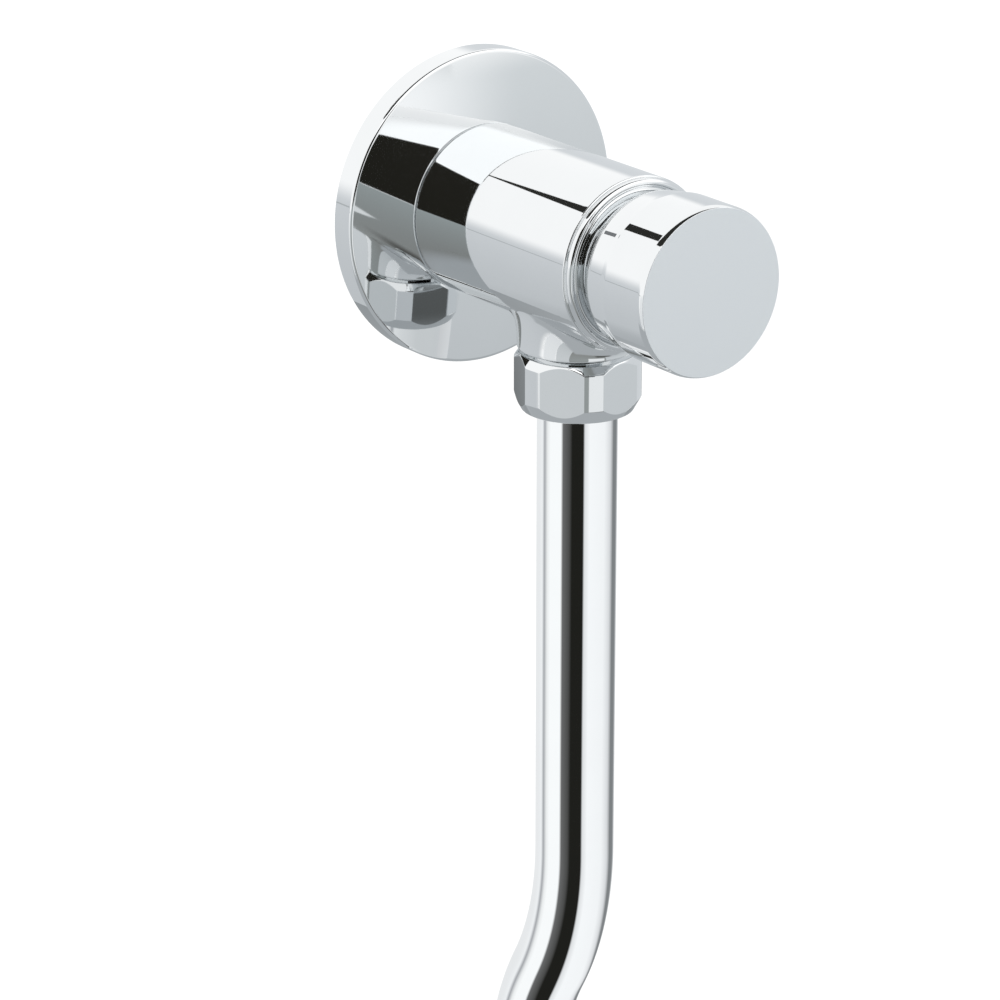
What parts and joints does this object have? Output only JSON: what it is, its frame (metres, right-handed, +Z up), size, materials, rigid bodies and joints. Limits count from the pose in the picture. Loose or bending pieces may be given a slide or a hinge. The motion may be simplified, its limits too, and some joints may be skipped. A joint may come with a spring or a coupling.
{
  "type": "urinal flush valve",
  "caption": "Wall-mounted urinal flush valve: round push button on a cylindrical chrome body with wall rosette, hexagon union nut and bent flush pipe below.",
  "frame": {"origin": "on the valve's horizontal axis, in the plane of the finished wall, at the inner end of the inlet nipple's wall thread", "axes": "+Y along the valve's axis into the wall, -Y out to the push button, +Z up, +X to the right seen from the room"},
  "size_m": [0.072, 0.1067, 0.266],
  "materials": {
    "chrome": "polished chrome plate",
    "chrome_trim": "polished chrome plate on brass",
    "button_chrome": "polished skirt, satin face",
    "raw_brass": "turned, unplated",
    "stainless": "drawn wire and turned bar",
    "rubber": "moulded black rubber",
    "plastic": "moulded acetal"
  },
  "bodies": {
    "valve": {"wall_rosette": "chrome", "valve_body": "chrome", "bonnet": "chrome_trim", "union_nut": "chrome", "flush_pipe": "chrome", "inlet_nipple": "raw_brass", "nipple_o_ring": "rubber", "inlet_strainer": "stainless", "guide_cup": "plastic", "cleaning_needle": "stainless", "closing_spring": "stainless", "relief_spring": "stainless", "valve_seat": "raw_brass", "bonnet_o_ring": "rubber", "pin_o_ring": "rubber", "pin_gland": "raw_brass", "button_spring": "stainless", "pipe_interrupter": "plastic", "interrupter_sleeve": "rubber", "outlet_washer": "rubber", "thrust_ring": "plastic"},
    "piston_set": {"piston": "plastic", "piston_cup": "rubber", "bleed_nozzle": "raw_brass", "seat_washer": "rubber", "washer_retainer": "raw_brass"},
    "relief_set": {"relief_stem": "raw_brass", "relief_washer": "rubber"},
    "button_set": {"push_button": "button_chrome", "button_carrier": "plastic", "push_pin": "stainless", "retaining_clip": "stainless"}
  },
  "joints": [
    {"name": "push_button", "type": "slide", "parent": "valve", "child": "button_set", "axis": [0, 1, 0], "range_m": [0, 0.0025], "stiffness_N_per_m": 1200, "springref_m": -0.005, "deforming": ["button_spring"]},
    {"name": "piston", "type": "slide", "parent": "valve", "child": "piston_set", "axis": [0, 1, 0], "range_m": [0, 0.003], "stiffness_N_per_m": 600, "springref_m": -0.004, "deforming": ["closing_spring", "relief_spring"]},
    {"name": "relief_stem", "type": "slide", "parent": "piston_set", "child": "relief_set", "axis": [0, 1, 0], "range_m": [0, 0.002], "deforming": ["relief_spring"]}
  ],
  "couplings": [
    {"joint": "relief_stem", "follows": "push_button", "ratio": 0.8}
  ]
}
